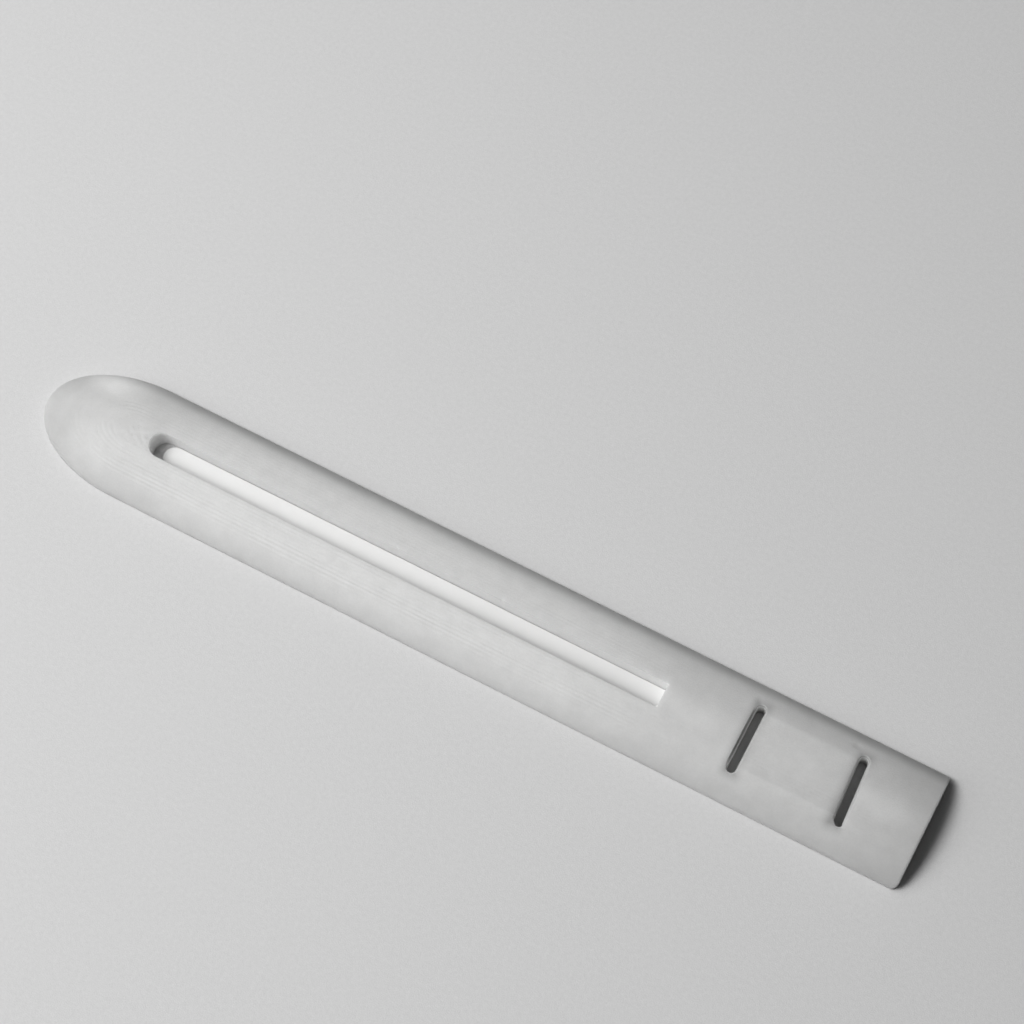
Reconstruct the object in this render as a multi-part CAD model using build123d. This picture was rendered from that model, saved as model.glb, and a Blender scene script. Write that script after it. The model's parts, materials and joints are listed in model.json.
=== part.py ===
from build123d import *
import os

# Blending stump: a crowned plastic bar with a lift-out blending strip in its groove.
#
# All sizes are in millimetres. X runs along the bar from the nose (-X) to the butt (+X), Y runs across it
# and Z points up. The origin is on the flat underside, at the middle of the bar's length and width.

# Bar: flat below, half-elliptic across, with a half-ellipsoid nose
LENGTH = 150.0
WIDTH = 19.2
CROWN_HEIGHT = 5.3          # flat underside to the ridge of the crown
NOSE_LENGTH = 16.7          # tip to where the sides start to run straight
BUTT_CORNER_RADIUS = 1.1    # rounding of the butt's two corners, seen from above

# Groove along the ridge: round towards the nose, square towards the butt
GROOVE_WIDTH = 3.95
GROOVE_FLOOR = 0.6          # plastic left under the groove
GROOVE_FROM_TIP = 19.2      # tip to the groove's round end
GROOVE_TO_SLOT = 13.8       # groove's square end to the front slot's centre line
GROOVE_CORNER_RADIUS = 0.4

# Blending strip, lying flat on the groove's floor
STRIP_THICKNESS = 0.65
STRIP_CLEARANCE = 0.05      # gap to each groove wall and to the square end
STRIP_NOSE_GAP = 1.7        # bare floor between the groove's round end and the strip's

# Two strap slots across the bar, right through it
SLOT_WIDTH = 1.7
SLOT_SIDE_MARGIN = 3.95     # from each end of a slot to the side of the bar
SLOT_PITCH = 16.9           # between the two centre lines
SLOT_TO_BUTT = 12.3         # rear slot's centre line to the butt
RIM_RADIUS = 0.6            # easing where a slot breaks out through the crown

# Flat seat between the two slots, where the strap crosses the bar
SEAT_DEPTH = 0.65           # below the ridge

# Places along X
TIP_X = -LENGTH / 2
BUTT_X = LENGTH / 2
REAR_SLOT_X = BUTT_X - SLOT_TO_BUTT
FRONT_SLOT_X = REAR_SLOT_X - SLOT_PITCH
GROOVE_START_X = TIP_X + GROOVE_FROM_TIP
GROOVE_END_X = FRONT_SLOT_X - GROOVE_TO_SLOT

# How far a cutter stands out past the surface that it cuts, and how near counts as touching
OVERCUT = 1.0
TOUCH = 0.01


def crowned_bar():
    """The plain bar: a round-nosed unit rod, stretched to an ellipse in every view and cut flat."""
    rod_length = LENGTH / NOSE_LENGTH
    outline = Polyline((0, 1), (rod_length, 1), (rod_length, 0), (-1, 0))
    nose = CenterArc((0, 0), 1, 90, 90)
    rod = revolve(make_face(outline + nose), axis=Axis.X)
    stretched = scale(rod, by=(NOSE_LENGTH, WIDTH / 2, CROWN_HEIGHT))
    above_table = Box(
        LENGTH + OVERCUT,
        WIDTH + 2 * OVERCUT,
        CROWN_HEIGHT + OVERCUT,
        align=(Align.MAX, Align.CENTER, Align.MIN),
    )
    return Pos(TIP_X + NOSE_LENGTH, 0, 0) * stretched & Pos(BUTT_X, 0, 0) * above_table


def butt_corner(side):
    """Waste outside one rounded corner of the butt: side is 1 for the +Y corner, -1 for the -Y one."""
    r = BUTT_CORNER_RADIUS
    outwards = Align.MIN if side > 0 else Align.MAX
    waste = Rectangle(r + OVERCUT, r + OVERCUT, align=(Align.MIN, outwards)) - Circle(r)
    return Pos(BUTT_X - r, side * (WIDTH / 2 - r), 0) * extrude(waste, CROWN_HEIGHT)


def channel_plan(start_x, end_x, width, corner_radius):
    """Outline from above: a round end at start_x, a square one with eased corners at end_x."""
    r = width / 2
    straight = Pos(start_x + r, 0) * Rectangle(end_x - start_x - r, width, align=(Align.MIN, Align.CENTER))
    corners = straight.vertices().group_by(Axis.X)[-1]
    return fillet(corners, corner_radius) + Pos(start_x + r, 0) * Circle(r)


def groove():
    """Cutter for the groove, from its floor up through the ridge."""
    plan = channel_plan(GROOVE_START_X, GROOVE_END_X, GROOVE_WIDTH, GROOVE_CORNER_RADIUS)
    return Pos(0, 0, GROOVE_FLOOR) * extrude(plan, CROWN_HEIGHT)


def strap_slot(x):
    """Cutter for one round-ended slot across the bar, right through it."""
    plan = Pos(x, 0) * Rot(0, 0, 90) * SlotOverall(WIDTH - 2 * SLOT_SIDE_MARGIN, SLOT_WIDTH)
    return Pos(0, 0, -OVERCUT) * extrude(plan, CROWN_HEIGHT + 2 * OVERCUT)


def strap_seat():
    """Cutter that flattens the crown from one slot to the other."""
    seat = Box(SLOT_PITCH, WIDTH, CROWN_HEIGHT, align=(Align.MIN, Align.CENTER, Align.MIN))
    return Pos(FRONT_SLOT_X, 0, CROWN_HEIGHT - SEAT_DEPTH) * seat


def ease_slot_rim(bar, x):
    """Rounds the crown's edge all round the slot at x, by way of the edge along its flat wall."""
    wall_x = x - SLOT_WIDTH / 2
    along_wall = bar.edges().filter_by_position(Axis.X, wall_x - TOUCH, wall_x + TOUCH)
    return fillet(along_wall.sort_by(Axis.Z)[-1], RIM_RADIUS)


def make_body():
    """The bar with its groove, its two strap slots, the seat between them and its rounded butt corners."""
    bar = crowned_bar() - groove() - butt_corner(1) - butt_corner(-1)
    for x in (FRONT_SLOT_X, REAR_SLOT_X):
        bar = ease_slot_rim(bar - strap_slot(x), x)
    return bar - strap_seat()


def make_blending_strip():
    """The thin strip on the groove's floor."""
    plan = channel_plan(
        GROOVE_START_X + STRIP_NOSE_GAP,
        GROOVE_END_X - STRIP_CLEARANCE,
        GROOVE_WIDTH - 2 * STRIP_CLEARANCE,
        GROOVE_CORNER_RADIUS - STRIP_CLEARANCE,
    )
    return Pos(0, 0, GROOVE_FLOOR) * extrude(plan, STRIP_THICKNESS)


NODES = {
    "body": make_body,
    "blending_strip": make_blending_strip,
}

os.makedirs("parts", exist_ok=True)
for name, make in NODES.items():
    export_step(make(), f"parts/{name}.step")
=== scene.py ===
"""Looks of the blending stump: a white printed bar with a smooth bright strip lying in its groove.

Meshes are modelled in millimetres, in the frame's own axes, and brought to metres as each one is finished:
X runs from the nose to the butt, Y across the bar and Z up from the flat underside.
"""

import json
import math

import bmesh
import bpy
from mathutils import Matrix, Vector, noise


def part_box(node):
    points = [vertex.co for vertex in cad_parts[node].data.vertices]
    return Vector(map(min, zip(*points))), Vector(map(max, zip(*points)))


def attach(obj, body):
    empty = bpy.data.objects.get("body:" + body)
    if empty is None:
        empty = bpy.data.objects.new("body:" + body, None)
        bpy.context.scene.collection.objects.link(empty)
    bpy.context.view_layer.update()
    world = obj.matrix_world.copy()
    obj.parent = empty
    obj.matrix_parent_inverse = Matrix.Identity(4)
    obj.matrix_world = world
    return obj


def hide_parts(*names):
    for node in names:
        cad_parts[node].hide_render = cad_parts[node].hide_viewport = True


MM = 0.001

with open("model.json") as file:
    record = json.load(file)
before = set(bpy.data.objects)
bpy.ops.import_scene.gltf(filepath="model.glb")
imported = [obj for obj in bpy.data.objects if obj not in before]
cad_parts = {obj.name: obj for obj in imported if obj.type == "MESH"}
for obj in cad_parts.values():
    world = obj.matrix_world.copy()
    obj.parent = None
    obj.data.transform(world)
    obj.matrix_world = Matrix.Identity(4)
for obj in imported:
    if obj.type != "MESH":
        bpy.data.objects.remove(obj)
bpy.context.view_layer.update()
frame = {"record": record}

# Places and sizes read from the frame, in millimetres
BODY_LOW, BODY_HIGH = (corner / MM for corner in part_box("body"))
STRIP_LOW, STRIP_HIGH = (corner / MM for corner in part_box("blending_strip"))
MOUNTS = {mount["name"]: Vector(mount["pos_m"]) / MM for mount in frame["record"]["mounts"]}
TIP_X, BUTT_X = BODY_LOW.x, BODY_HIGH.x
HALF_WIDTH = BODY_HIGH.y
HEIGHT = BODY_HIGH.z
FRONT_SLOT_X = MOUNTS["front_strap_slot"].x
REAR_SLOT_X = MOUNTS["rear_strap_slot"].x

# Bar
NOSE_LENGTH = 16.7
NOSE_X = TIP_X + NOSE_LENGTH        # where the nose's curve meets the straight sides
BUTT_CORNER_RADIUS = 1.1
BUTT_RIM_RADIUS = 0.25
BASE_EDGE_RADIUS = 0.35
SECTION_SEGMENTS = 560              # round a whole ellipse, so that the fine lines have a shape
NOSE_STEPS = 96

# Groove, which clears the strip all round
STRIP_CLEARANCE = 0.05
GROOVE_NOSE_GAP = 1.7
GROOVE_START_X = STRIP_LOW.x - GROOVE_NOSE_GAP
GROOVE_END_X = STRIP_HIGH.x + STRIP_CLEARANCE
GROOVE_HALF_WIDTH = STRIP_HIGH.y + STRIP_CLEARANCE
GROOVE_FLOOR = STRIP_LOW.z
GROOVE_CORNER_RADIUS = 0.4
GROOVE_LIP = 0.06

# Strap slots, and the flat seat between them
FRONT_SLOT = dict(centre_x=FRONT_SLOT_X + 0.05, width=1.45)
REAR_SLOT = dict(centre_x=REAR_SLOT_X - 0.05, width=1.4)
SLOT_SIDE_MARGIN = 3.95
SEAT_DEPTH = 0.65
SEAT_CREASE = 0.09                  # softness of the seat's long edges
SLOT_LIP = 0.24
FRONT_OUTER_LIP = 0.22              # on the side of a slot away from the seat
REAR_OUTER_LIP = 0.4
REAR_SLOT_SLANT = 0.75              # how far the rear slot's -Y end is moved towards the butt

# Fine lines that follow the outline, left by the making of the bar
LINE_PITCH = 0.59
LINE_CREST = 3.78                   # distance of one crest from the bar's middle line
NEAR_LINE_HEIGHT = 0.03             # on the -Y side, where they stand out most
FAR_LINE_HEIGHT = 0.005
LINE_NEAR, LINE_FAR = 2.2, 6.6      # where the lines show, as distances from the middle line
LINE_FADE = 1.0
STRONG_LINES = (                    # places where they stand higher: centre, reach, extra height
    ((-60.5, 3.6), (4.0, 1.4), 0.035),
    ((-52.7, -3.2), (2.2, 0.5), 0.04),
    ((12.5, 3.75), (9.0, 0.5), 0.03),
)

# Lumps, nicks and dents
LUMP_HEIGHT = 0.09
LUMP_PLACE = (GROOVE_START_X - 1.8, -0.2)
LUMP_REACH = (4.2, 3.2)
RIM_NICKS = (-14.0, 4.0, 28.0)      # along the groove's far rim
RIM_NICK_DEPTH = 0.2
RIM_NICK_REACH = (0.45, 0.5)
NICKS = (                           # small dents in the crown: centre, reach, depth
    ((60.9, 6.7), (1.1, 0.9), 0.16),
    ((63.2, 7.6), (1.6, 0.7), -0.07),
    ((45.0, 6.0), (0.8, 1.5), 0.12),
)

# Painted light and shade on the plastic, as a factor on its colour: along the bar it is painted darker
# towards both ends
TONE_STOPS = ((-75, 0.86), (-58, 0.94), (-45, 0.99), (14, 1.0), (40, 0.91), (64, 0.86), (75, 0.76))
TONE_SPOTS = (                      # painted light and painted shade in spots: centre, reach, change of tone
    ((68.5, 0.0), (8.0, 3.5), 0.13),
    ((37.5, 0.0), (8.0, 3.0), 0.08),
    ((54.2, 0.0), (12.0, 6.5), 0.07),
    ((-70.0, -4.5), (6.0, 6.0), -0.08),
    ((-66.5, 7.0), (8.0, 4.5), 0.36),
    ((-10.0, 5.2), (70.0, 3.2), 0.09),
)
NEAR_EDGE_SHADE = 0.02               # painted shade: how much greyer the long edges are low down, on the -Y side
FAR_EDGE_SHADE = 0.38                # and on the +Y side, which faces away from the light
NOSE_SHADE_SHARE = 0.35              # how much of that is left at the tip
EDGE_SHADE_WIDTH = 2.7               # from the underside's outline in to where the painted shade starts
EDGE_SHADE_FULL = 0.4                # and in to where it is strongest
GROOVE_WALL_LIGHT = 1.3              # painted light on the groove's walls, making them lighter
# painted light on the slots' walls, below their lips
SLOT_WALL_LIGHT = 1.33
PAINTED_LIGHT_DEPTH = 0.6              # how far down a slot's wall the painted light starts
SLOT_SHADE_REACH = 1.7                  # reach of the painted shade on the crown round a slot
SLOT_SHADE_DEPTH = 0.36
STRIP_EDGE_SHADOW = 0.3               # painted shadow: how much greyer the strip's -Y edge is than its +Y one

TOUCH = 0.01                        # a hair's breadth: how near counts as on a wall, and the table's gap
MERGE = 1e-4                        # how near counts as one point


def crown_z(x, y):
    """Height of the smooth crown above the underside."""
    along = min(x - NOSE_X, 0) / NOSE_LENGTH
    return HEIGHT * math.sqrt(max(0, 1 - along ** 2 - (y / HALF_WIDTH) ** 2))


def new_object(name, bm):
    """Turns a finished millimetre bmesh into an object in metres."""
    bmesh.ops.scale(bm, vec=(MM, MM, MM), verts=bm.verts)
    mesh = bpy.data.meshes.new(name)
    bm.to_mesh(mesh)
    bm.free()
    piece = bpy.data.objects.new(name, mesh)
    bpy.context.scene.collection.objects.link(piece)
    return piece


def extruded(bm, edges):
    """Extrudes a chain of edges in place and returns its new edges and new verts."""
    made = bmesh.ops.extrude_edge_only(bm, edges=edges)["geom"]
    verts = [part for part in made if isinstance(part, bmesh.types.BMVert)]
    fresh = set(verts)
    chain = [part for part in made if isinstance(part, bmesh.types.BMEdge) and set(part.verts) <= fresh]
    return chain, verts


# ---------------------------------------------------------------- the bar's mesh

def stations():
    """Places along the straight part: close together at the groove's start, nicks, slots and butt."""
    places = []
    x = NOSE_X
    while x < BUTT_X - BUTT_CORNER_RADIUS:
        near_groove_start = x < GROOVE_START_X + 3
        near_slot = min(abs(x - FRONT_SLOT_X), abs(x - REAR_SLOT_X)) < 3
        near_nick = min(abs(x + 0.4 - nick_x) for nick_x in RIM_NICKS) < 1
        x += 0.2 if near_nick else 0.25 if near_groove_start else 0.3 if near_slot else 1.2
        places.append(x)
    corner_steps = 8
    rim_steps = 4
    places[-1] = BUTT_X - BUTT_CORNER_RADIUS
    places += [BUTT_X - BUTT_CORNER_RADIUS + (BUTT_CORNER_RADIUS - BUTT_RIM_RADIUS) * (i + 1) / corner_steps
               for i in range(corner_steps)]
    places += [BUTT_X - BUTT_RIM_RADIUS * (1 - math.sin(math.pi / 2 * (i + 1) / rim_steps))
               for i in range(rim_steps)]
    seat_ends = [FRONT_SLOT_X - TOUCH, FRONT_SLOT_X + TOUCH, REAR_SLOT_X - TOUCH, REAR_SLOT_X + TOUCH]
    return sorted(p for p in places + seat_ends)


def plain_bar():
    """The crowned bar: a half-elliptic section spun round the nose and extruded back to the butt."""
    bm = bmesh.new()
    place = Matrix.Translation((NOSE_X, 0, 0)) @ Matrix.Rotation(math.pi / 2, 4, "Y")
    bmesh.ops.create_circle(bm, segments=SECTION_SEGMENTS, radius=1, matrix=place)
    bmesh.ops.scale(bm, vec=(1, HALF_WIDTH, HEIGHT), verts=bm.verts)
    everything = bm.verts[:] + bm.edges[:]
    bmesh.ops.bisect_plane(
        bm, geom=everything, dist=MERGE, plane_co=(0, 0, 0), plane_no=(0, 0, 1), clear_inner=True)
    section = bm.edges[:]
    right_half = [edge for edge in section if sum(v.co.y for v in edge.verts) > 0]
    bmesh.ops.spin(
        bm,
        geom=right_half + list({v for edge in right_half for v in edge.verts}),
        cent=(NOSE_X, 0, 0),
        axis=(0, 0, 1),
        angle=math.pi,
        steps=NOSE_STEPS,
    )
    nose = [v for v in bm.verts if v.co.x < NOSE_X]
    stretch = Matrix.Scale(NOSE_LENGTH / HALF_WIDTH, 4, (1, 0, 0))
    bmesh.ops.transform(bm, matrix=stretch, space=Matrix.Translation((-NOSE_X, 0, 0)), verts=nose)
    x = NOSE_X
    for next_x in stations():
        section, verts = extruded(bm, section)
        bmesh.ops.translate(bm, verts=verts, vec=(next_x - x, 0, 0))
        x = next_x
    bmesh.ops.remove_doubles(bm, verts=bm.verts, dist=MERGE)
    return bm


def with_seat(z):
    """The crown's height z, brought down to the seat with a soft crease where they meet."""
    seat_z = HEIGHT - SEAT_DEPTH
    blend = max(0, SEAT_CREASE - abs(z - seat_z)) / SEAT_CREASE
    return min(z, seat_z) - blend * blend * SEAT_CREASE / 4


def seat_flat(bm):
    """Lowers the crown to a flat seat between the two slots."""
    for v in bm.verts:
        if FRONT_SLOT_X < v.co.x < REAR_SLOT_X:
            v.co.z = with_seat(v.co.z)


def round_butt(bm):
    """Rounds the butt's two corners as seen from above, and takes the edge off its rim."""
    r, rim = BUTT_CORNER_RADIUS, BUTT_RIM_RADIUS
    for v in bm.verts:
        past_corner = v.co.x - (BUTT_X - r)
        if past_corner > 0:
            reach = HALF_WIDTH - r + math.sqrt(max(0, r * r - past_corner ** 2))
            v.co.y = max(-reach, min(reach, v.co.y))
        past_rim = v.co.x - (BUTT_X - rim)
        if past_rim > 0:
            eased = rim - math.sqrt(max(0, rim * rim - past_rim ** 2))
            v.co.y *= 1 - eased / HALF_WIDTH
            v.co.z *= 1 - eased / HEIGHT


def from_middle(x, y):
    """Distance from the bar's middle line, measured so that equal values run round the nose."""
    return math.hypot(y, min(x - NOSE_X, 0) * HALF_WIDTH / NOSE_LENGTH)


def fade(value, low, high):
    """0 below low, 1 above high, smooth between."""
    t = max(0, min(1, (value - low) / (high - low)))
    return t * t * (3 - 2 * t)


def spot(x, y, centre, reach):
    """1 at the centre, fading to 0 over an oval of this reach."""
    away = math.hypot((x - centre[0]) / reach[0], (y - centre[1]) / reach[1])
    return 1 - fade(away, 0, 1)


def line_profile(x, y):
    """Height of the fine lines over the smooth crown."""
    u = from_middle(x, y)
    shown = fade(u, LINE_NEAR - LINE_FADE, LINE_NEAR)
    shown *= 1 - fade(u, LINE_FAR - LINE_FADE, LINE_FAR + LINE_FADE)
    wander = 0.6 * noise.noise(Vector((x * 0.05, u * 1.3, 4.2)))
    strength = 0.75 + 0.8 * noise.noise(Vector((x * 0.12, u * 2.1 + y, 9.7)))
    side = fade(y, -1.5, 1.5)
    height = NEAR_LINE_HEIGHT + (FAR_LINE_HEIGHT - NEAR_LINE_HEIGHT) * side
    height *= 1 - 0.75 * fade(x, 28, 36)
    for centre, reach, extra in STRONG_LINES:
        height += extra * spot(x, y, centre, reach)
    return height * shown * strength * math.cos(math.tau * (u - LINE_CREST) / LINE_PITCH + wander)


def lumps(x, y):
    """Small lumps where the lines close up just ahead of the groove, and nicks left on the crown."""
    grain = noise.noise(Vector((x * 1.6, y * 1.6, 0.5))) + 0.5 * noise.noise(Vector((x * 3.7, y * 3.7, 2.5)))
    height = LUMP_HEIGHT * spot(x, y, LUMP_PLACE, LUMP_REACH) * grain
    for centre, reach, depth in NICKS:
        height -= depth * spot(x, y, centre, reach)
    for nick_x in RIM_NICKS:
        height -= RIM_NICK_DEPTH * spot(x, y, (nick_x, GROOVE_HALF_WIDTH), RIM_NICK_REACH)
    return height


def finish_surface(bm):
    """Raises the fine lines and lumps along the crown's own normals, and eases the edge of the underside."""
    bm.normal_update()
    normals = [v.normal.copy() for v in bm.verts]
    for v, normal in zip(bm.verts, normals):
        x, y, z = v.co
        if x < BUTT_X - BUTT_RIM_RADIUS:
            sign = 1 if normal.z >= 0 else -1
            v.co += sign * normal * (line_profile(x, y) + lumps(x, y))
        if z < BASE_EDGE_RADIUS:
            rise = BASE_EDGE_RADIUS - z
            eased = BASE_EDGE_RADIUS - math.sqrt(max(0, BASE_EDGE_RADIUS ** 2 - rise ** 2))
            outward = Vector((normal.x, normal.y, 0)).normalized()
            from_inside = outward.dot(Vector((min(x - NOSE_X, 0), y, 0))) > 0
            v.co -= outward * eased if from_inside else -outward * eased


def close_bar(bm):
    """Closes the butt and the underside."""
    butt = [v for v in bm.verts if v.co.x > BUTT_X - MERGE]
    bmesh.ops.contextual_create(bm, geom=butt)
    open_edges = [edge for edge in bm.edges if edge.is_boundary]
    bmesh.ops.edgeloop_fill(bm, edges=open_edges)
    bmesh.ops.recalc_face_normals(bm, faces=bm.faces)


# ---------------------------------------------------------------- cutters for the groove and slots

def rounded_plan(bm, low, high, low_radius, high_radius):
    """A rectangle seen from above, its corners rounded by one radius at low x and another at high x."""
    bmesh.ops.create_grid(bm, x_segments=1, y_segments=1, size=0.5)
    bmesh.ops.scale(bm, vec=(high.x - low.x, high.y - low.y, 1), verts=bm.verts)
    bmesh.ops.translate(bm, vec=((low.x + high.x) / 2, (low.y + high.y) / 2, 0), verts=bm.verts)
    middle = (low.x + high.x) / 2
    for radius, at_low in ((low_radius, True), (high_radius, False)):
        corners = [v for v in bm.verts if (v.co.x < middle) == at_low]
        bmesh.ops.bevel(
            bm, geom=corners, offset=radius, segments=14, profile=0.5, affect="VERTICES", material=-1)
    bmesh.ops.remove_doubles(bm, verts=bm.verts, dist=1e-3)


def lip_levels(angle_end=60, steps=5, overrun=0.8):
    """(spread, depth) pairs, in lip radii, from the wall's top up and out over an eased lip."""
    angles = [math.radians(angle_end * i / steps) for i in range(steps + 1)]
    levels = [(1 - math.cos(a), 1 - math.sin(a)) for a in angles]
    spread, depth = levels[-1]
    last = angles[-1]
    levels.append((spread + overrun * math.sin(last), depth - overrun * math.cos(last)))
    return levels


def cutter(name, bm, floor_z, surface, lip):
    """Straight-walled cutter over the plan in bm, whose lip is eased where it meets the surface.

    surface(x, y) is the height of the bar there, and lip(x, y) the radius of the easing. One ring of the
    wall lies below the lip, to carry the painted light on the walls.
    """
    face = bm.faces[:][0]
    plan = [loop.vert.co.copy() for loop in face.loops]
    count = len(plan)
    normals = []
    for i in range(count):
        run = plan[(i + 1) % count] - plan[i - 1]
        normals.append(Vector((run.y, -run.x, 0)).normalized())
    index = {loop.vert: i for i, loop in enumerate(face.loops)}
    edges = face.edges[:]
    bmesh.ops.translate(bm, verts=bm.verts, vec=(0, 0, floor_z))
    levels = [(0, 1, PAINTED_LIGHT_DEPTH)] + [(spread, depth, 0) for spread, depth in lip_levels()]
    for spread, depth, sunk in levels:
        edges, verts = extruded(bm, edges)
        below = {v: edge.other_vert(v)
                 for v in verts for edge in v.link_edges if edge.other_vert(v) in index}
        index = {v: index[below[v]] for v in verts}
        for v, i in index.items():
            radius = lip(plan[i].x, plan[i].y)
            x, y, _ = plan[i] + normals[i] * radius * spread
            v.co = (x, y, surface(x, y) - radius * depth - sunk)
    edges, verts = extruded(bm, edges)
    for v in verts:
        v.co.z = HEIGHT + 1
    bmesh.ops.edgeloop_fill(bm, edges=edges)
    bmesh.ops.recalc_face_normals(bm, faces=bm.faces)
    return new_object(name, bm)


def groove_cutter():
    """Takes out the groove, round towards the nose and nearly square towards the butt."""
    bm = bmesh.new()
    low = Vector((GROOVE_START_X, -GROOVE_HALF_WIDTH))
    high = Vector((GROOVE_END_X, GROOVE_HALF_WIDTH))
    rounded_plan(bm, low, high, GROOVE_HALF_WIDTH, GROOVE_CORNER_RADIUS)
    return cutter("groove_cutter", bm, GROOVE_FLOOR, crown_z, lambda x, y: GROOVE_LIP)


def slot_cutter(name, outer_side, outer_lip, slant, centre_x, width):
    """Takes out one strap slot.

    outer_side is -1 where the slot's side away from the seat is towards the nose, and 1 where it is towards
    the butt. That side's lip is outer_lip, and slant is how far the -Y end is moved along the bar, which
    slants the straight sides between the two round ends.
    """
    bm = bmesh.new()
    half_span = HALF_WIDTH - SLOT_SIDE_MARGIN
    half_width = width / 2
    rounded_plan(bm, Vector((centre_x - half_width, -half_span)), Vector((centre_x + half_width, half_span)),
                 half_width * 0.98, half_width * 0.98)
    for v in bm.verts:
        v.co.x += slant * fade(-v.co.y, half_span - 1.6, half_span - 0.2)

    def surface(x, y):
        on_seat = (x - centre_x) * outer_side < 0
        return with_seat(crown_z(x, y)) if on_seat else crown_z(x, y)

    def lip(x, y):
        outer = fade((x - centre_x) * outer_side, 0, half_width)
        outer *= 1 - fade(abs(y), half_span - 1.5, half_span)
        return SLOT_LIP + (outer_lip - SLOT_LIP) * outer

    return cutter(name, bm, -1, surface, lip)


def cut(piece, cutters):
    """Cuts each cutter out of the piece, and removes the cutters."""
    for tool in cutters:
        modifier = piece.modifiers.new(tool.name, "BOOLEAN")
        modifier.operation = "DIFFERENCE"
        modifier.solver = "EXACT"
        modifier.object = tool
    depsgraph = bpy.context.evaluated_depsgraph_get()
    made = bpy.data.meshes.new_from_object(piece.evaluated_get(depsgraph))
    piece.modifiers.clear()
    piece.data = made
    for tool in cutters:
        bpy.data.objects.remove(tool)


def shade(piece, sharp_degrees):
    """Smooth shading, broken at edges sharper than this."""
    piece.data.shade_smooth()
    piece.data.set_sharp_from_angle(angle=math.radians(sharp_degrees))


def along(x, stops):
    """Value at x between (place, value) stops."""
    for (x0, value0), (x1, value1) in zip(stops, stops[1:]):
        if x <= x1:
            return value0 + (value1 - value0) * fade(x, x0, x1)
    return stops[-1][1]


def slot_shade_at(x, y, centre_x, width):
    """Painted shade round the edge of a slot, 1 at the slot and 0 beyond its reach."""
    half_span = HALF_WIDTH - SLOT_SIDE_MARGIN
    away = math.hypot(max(0, abs(x - centre_x) - width / 2), max(0, abs(y) - half_span))
    return (1 - min(1, away / SLOT_SHADE_REACH)) ** 2


def inside_cut(x, y):
    """Whether the point is on a wall of the groove or of a slot, leaving the rear slot's slant out."""
    past_round_end = min(x - (GROOVE_START_X + GROOVE_HALF_WIDTH), 0)
    in_groove = x < GROOVE_END_X + TOUCH and math.hypot(past_round_end, y) < GROOVE_HALF_WIDTH + TOUCH
    in_span = abs(y) < HALF_WIDTH - SLOT_SIDE_MARGIN + TOUCH
    return in_groove or in_span and any(
        abs(x - slot["centre_x"]) < slot["width"] / 2 + TOUCH for slot in (FRONT_SLOT, REAR_SLOT))


def tone_at(x, y, z):
    """Painted light and shade on the plastic: painted light on the walls of the cuts, painted shade at both
    ends, low down and round the slots.
    """
    # painted light: the walls of the groove, and of the slots below their lips, are made lighter
    by_groove = x < GROOVE_END_X + 1
    below_lip = z < with_seat(crown_z(x, y)) - 0.9 * PAINTED_LIGHT_DEPTH
    if z > 0 and inside_cut(x, y) and (by_groove or below_lip):
        return GROOVE_WALL_LIGHT if by_groove else SLOT_WALL_LIGHT
    # painted shade towards both ends, then painted light and painted shade in spots
    tone = along(x, TONE_STOPS)
    for centre, reach, change in TONE_SPOTS:
        tone += change * spot(x, y, centre, reach)
    # painted shade low down along the long edges, strongest on the +Y side and weaker at the tip
    out = from_middle(x, y)
    edge = fade(out, HALF_WIDTH - EDGE_SHADE_WIDTH, HALF_WIDTH - EDGE_SHADE_FULL)
    edge *= 1 - 0.7 * fade(out, HALF_WIDTH - 0.45, HALF_WIDTH - 0.1)
    far_shade = FAR_EDGE_SHADE * (NOSE_SHADE_SHARE + (1 - NOSE_SHADE_SHARE) * fade(x, -70, -50))
    tone *= 1 - edge * (NEAR_EDGE_SHADE + (far_shade - NEAR_EDGE_SHADE) * fade(y, -4, 4))
    # painted shade round the slots
    slot_shade = max(slot_shade_at(x, y, **slot) for slot in (FRONT_SLOT, REAR_SLOT))
    return tone * (1 - SLOT_SHADE_DEPTH * slot_shade)


def paint_tone(bar):
    """Stores the painted light and shade at each point of the bar, as its tone."""
    tone = bar.data.attributes.new("tone", "FLOAT", "POINT")
    for v, value in zip(bar.data.vertices, tone.data):
        value.value = tone_at(*(v.co / MM))


def make_bar():
    """The body: the crowned bar with its seat, lines, eased edges, groove and slots."""
    bm = plain_bar()
    seat_flat(bm)
    finish_surface(bm)
    round_butt(bm)
    close_bar(bm)
    bar = new_object("bar", bm)
    front = slot_cutter("front_slot", -1, FRONT_OUTER_LIP, 0, **FRONT_SLOT)
    rear = slot_cutter("rear_slot", 1, REAR_OUTER_LIP, REAR_SLOT_SLANT, **REAR_SLOT)
    cut(bar, [groove_cutter(), front, rear])
    shade(bar, 28)
    paint_tone(bar)
    return bar


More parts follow.
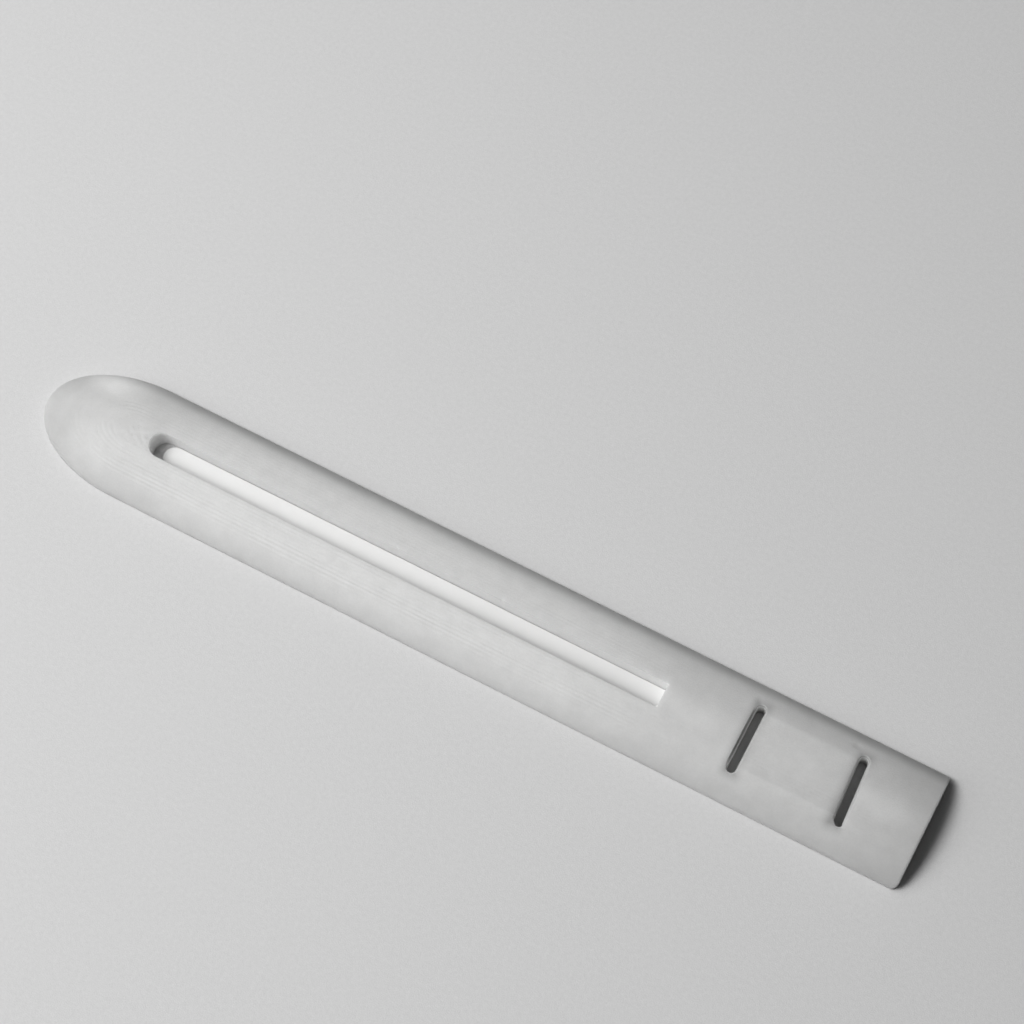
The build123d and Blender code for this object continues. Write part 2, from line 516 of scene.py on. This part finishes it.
def make_strip():
    """The smooth strip: a slab with a round front, its top edges just eased, with a painted shadow along its
    -Y edge.
    """
    bm = bmesh.new()
    low, high = STRIP_LOW, STRIP_HIGH
    rounded_plan(bm, low, high, high.y, GROOVE_CORNER_RADIUS - STRIP_CLEARANCE)
    bmesh.ops.translate(bm, verts=bm.verts, vec=(0, 0, low.z))
    top = bmesh.ops.extrude_face_region(bm, geom=bm.faces[:])["geom"]
    verts = [part for part in top if isinstance(part, bmesh.types.BMVert)]
    bmesh.ops.translate(bm, verts=verts, vec=(0, 0, high.z - low.z))
    rim = [edge for edge in bm.edges if all(v in verts for v in edge.verts)]
    bmesh.ops.recalc_face_normals(bm, faces=bm.faces)
    bmesh.ops.bevel(bm, geom=rim, offset=0.08, segments=3, profile=0.5, affect="EDGES", material=-1)
    strip = new_object("smooth_strip", bm)
    shade(strip, 40)
    # painted shadow of the groove's -Y wall, darkest at the strip's -Y edge
    tone = strip.data.attributes.new("tone", "FLOAT", "POINT")
    for v, value in zip(strip.data.vertices, tone.data):
        value.value = 1 - STRIP_EDGE_SHADOW * (high.y - v.co.y / MM) / (high.y - low.y)
    return strip


# ---------------------------------------------------------------- materials

def node(tree, kind, x, y, **inputs):
    """Adds a node and sets the inputs named, with spaces written as underscores."""
    made = tree.nodes.new(kind)
    made.location = (x, y)
    for name, value in inputs.items():
        made.inputs[name.replace("_", " ")].default_value = value
    return made


def grain_group():
    """Fine unevenness of a moulded or laid surface, as a factor on its colour and a height for its bump."""
    group = bpy.data.node_groups.new("surface_grain", "ShaderNodeTree")
    interface = group.interface
    interface.new_socket("Coarse Scale", in_out="INPUT", socket_type="NodeSocketFloat")
    interface.new_socket("Fine Scale", in_out="INPUT", socket_type="NodeSocketFloat")
    interface.new_socket("Darkest", in_out="INPUT", socket_type="NodeSocketFloat")
    interface.new_socket("Tone", in_out="OUTPUT", socket_type="NodeSocketFloat")
    interface.new_socket("Height", in_out="OUTPUT", socket_type="NodeSocketFloat")
    start = node(group, "NodeGroupInput", -900, 0)
    place = node(group, "ShaderNodeTexCoord", -900, -260)
    coarse = node(group, "ShaderNodeTexNoise", -620, 120, Detail=3.0, Roughness=0.6)
    fine = node(group, "ShaderNodeTexNoise", -620, -220, Detail=4.0, Roughness=0.7)
    both = node(group, "ShaderNodeMath", -380, 0)
    both.operation = "ADD"
    spread = node(group, "ShaderNodeMapRange", -160, 60)
    spread.inputs["From Min"].default_value = 0.75
    spread.inputs["From Max"].default_value = 1.25
    spread.inputs["To Max"].default_value = 1.0
    end = node(group, "NodeGroupOutput", 120, 0)
    link = group.links.new
    link(place.outputs["Object"], coarse.inputs["Vector"])
    link(place.outputs["Object"], fine.inputs["Vector"])
    link(start.outputs["Coarse Scale"], coarse.inputs["Scale"])
    link(start.outputs["Fine Scale"], fine.inputs["Scale"])
    link(coarse.outputs["Fac"], both.inputs[0])
    link(fine.outputs["Fac"], both.inputs[1])
    link(both.outputs["Value"], spread.inputs["Value"])
    link(start.outputs["Darkest"], spread.inputs["To Min"])
    link(spread.outputs["Result"], end.inputs["Tone"])
    link(fine.outputs["Fac"], end.inputs["Height"])
    return group


def new_material(name, color, roughness, scales, darkest, bump, tone_attribute=None):
    """A finish that varies with the grain, and with the painted light and shade in the piece's tone where it
    has one.

    scales are the grain's coarse and fine scales, darkest its least tone, and bump its height in metres.
    """
    material = bpy.data.materials.new(name)
    material.use_nodes = True
    tree = material.node_tree
    link = tree.links.new
    shader = tree.nodes["Principled BSDF"]
    shader.inputs["Roughness"].default_value = roughness
    grain = node(tree, "ShaderNodeGroup", -820, 0)
    grain.node_tree = GRAIN
    grain.inputs["Coarse Scale"].default_value = scales[0]
    grain.inputs["Fine Scale"].default_value = scales[1]
    grain.inputs["Darkest"].default_value = darkest
    tinted = node(tree, "ShaderNodeVectorMath", -420, 120)
    tinted.operation = "SCALE"
    tinted.inputs[0].default_value = color
    tone = grain.outputs["Tone"]
    # the piece's tone attribute carries painted light and shade
    if tone_attribute:
        own = node(tree, "ShaderNodeAttribute", -820, 260)
        own.attribute_name = tone_attribute
        product = node(tree, "ShaderNodeMath", -600, 160)
        product.operation = "MULTIPLY"
        link(own.outputs["Fac"], product.inputs[0])
        link(tone, product.inputs[1])
        tone = product.outputs["Value"]
    link(tone, tinted.inputs["Scale"])
    link(tinted.outputs["Vector"], shader.inputs["Base Color"])
    relief = node(tree, "ShaderNodeBump", -420, -200, Strength=0.5, Distance=bump)
    link(grain.outputs["Height"], relief.inputs["Height"])
    link(relief.outputs["Normal"], shader.inputs["Normal"])
    return material


def body_plastic():
    """Matt white plastic that lets a little light through."""
    material = new_material(
        "printed_white_plastic", (0.74, 0.74, 0.735), 0.5, (420, 4200), 0.92, 0.00008, "tone")
    shader = material.node_tree.nodes["Principled BSDF"]
    shader.inputs["Subsurface Weight"].default_value = 1
    shader.inputs["Subsurface Radius"].default_value = (1, 1, 1)
    shader.inputs["Subsurface Scale"].default_value = 0.0025
    return material


def strip_plastic():
    """Smoother and whiter plastic, with hardly any grain."""
    return new_material(
        "smooth_white_plastic", (0.84, 0.84, 0.835), 0.35, (150, 900), 0.985, 0.00001, "tone")


def table_top():
    """Pale matt table."""
    return new_material("pale_table", (0.72, 0.72, 0.72), 0.8, (1600, 4500), 0.93, 0.0001)


GRAIN = grain_group()

# ---------------------------------------------------------------- table, lights and camera

TABLE_REACH = 1500                  # middle to each side
CAMERA_LENS = 101.3
CAMERA_DISTANCE = 441.6
CAMERA_AZIMUTH = -58.13             # where the camera stands, seen from the bar
CAMERA_ELEVATION = 70.86
PICTURE_UP_AZIMUTH = 117.85         # direction on the table that is upright in the picture
LOOKED_AT = (-2.14, 16.63, 0)
ROOM_BRIGHTNESS = 0.035


def direction(azimuth, elevation):
    """Unit vector at these angles in degrees: azimuth from +X towards +Y, elevation above the table."""
    a, e = math.radians(azimuth), math.radians(elevation)
    return Vector((math.cos(e) * math.cos(a), math.cos(e) * math.sin(a), math.sin(e)))


def make_table():
    """The table that the bar lies on, a hair below it."""
    bm = bmesh.new()
    bmesh.ops.create_grid(bm, x_segments=1, y_segments=1, size=TABLE_REACH)
    bmesh.ops.translate(bm, verts=bm.verts, vec=(0, 0, BODY_LOW.z - TOUCH))
    table = new_object("table", bm)
    table.data.materials.append(table_top())


def aim(obj, at, back, picture_up):
    """Puts obj at the place, looking along -back, with picture_up upright in the picture."""
    right = picture_up.cross(back).normalized()
    up = back.cross(right)
    turn = Matrix((right, up, back)).transposed().to_4x4()
    obj.matrix_world = Matrix.Translation(at) @ turn


def make_camera():
    """The camera, high over the bar's -Y side."""
    data = bpy.data.cameras.new("camera")
    data.lens = CAMERA_LENS
    data.sensor_width = 36
    data.clip_start = 0.01
    camera = bpy.data.objects.new("camera", data)
    bpy.context.scene.collection.objects.link(camera)
    back = direction(CAMERA_AZIMUTH, CAMERA_ELEVATION)
    place = (Vector(LOOKED_AT) + back * CAMERA_DISTANCE) * MM
    aim(camera, place, back, direction(PICTURE_UP_AZIMUTH, 0))
    bpy.context.scene.camera = camera


def area_light(name, azimuth, elevation, distance, size, watts, at=Vector((0, 0, 0))):
    """A round soft light that shines on the point at, from these angles as the table sees them."""
    data = bpy.data.lights.new(name, "AREA")
    data.shape = "DISK"
    data.size = size
    data.energy = watts
    lamp = bpy.data.objects.new(name, data)
    bpy.context.scene.collection.objects.link(lamp)
    back = direction(azimuth, elevation)
    aim(lamp, at + back * distance, back, Vector((0, 0, 1)))


def make_lights():
    """One key light towards the butt, with a wide window, two weak fills and a dim room."""
    butt_end = Vector((BUTT_X, 0, 0)) * MM
    area_light("key_light", 209.7, 57.2, 0.9, 0.32, 3.75, at=butt_end)
    area_light("wide_window", 225, 35, 1.3, 1.0, 3.6)
    area_light("nose_lamp", 180, 65, 0.5, 0.35, 0.85)
    area_light("far_wall", 90, 35, 1.3, 1.0, 0.5)
    world = bpy.data.worlds.new("room_light")
    bpy.context.scene.world = world
    world.use_nodes = True
    background = world.node_tree.nodes["Background"]
    background.inputs["Color"].default_value = (1, 1, 1, 1)
    background.inputs["Strength"].default_value = ROOM_BRIGHTNESS


bar = make_bar()
bar.data.materials.append(body_plastic())
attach(bar, "body")
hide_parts("body")

strip = make_strip()
strip.data.materials.append(strip_plastic())
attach(strip, "strip")
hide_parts("blending_strip")

make_table()
make_camera()
make_lights()
bpy.context.scene.view_settings.view_transform = "Standard"
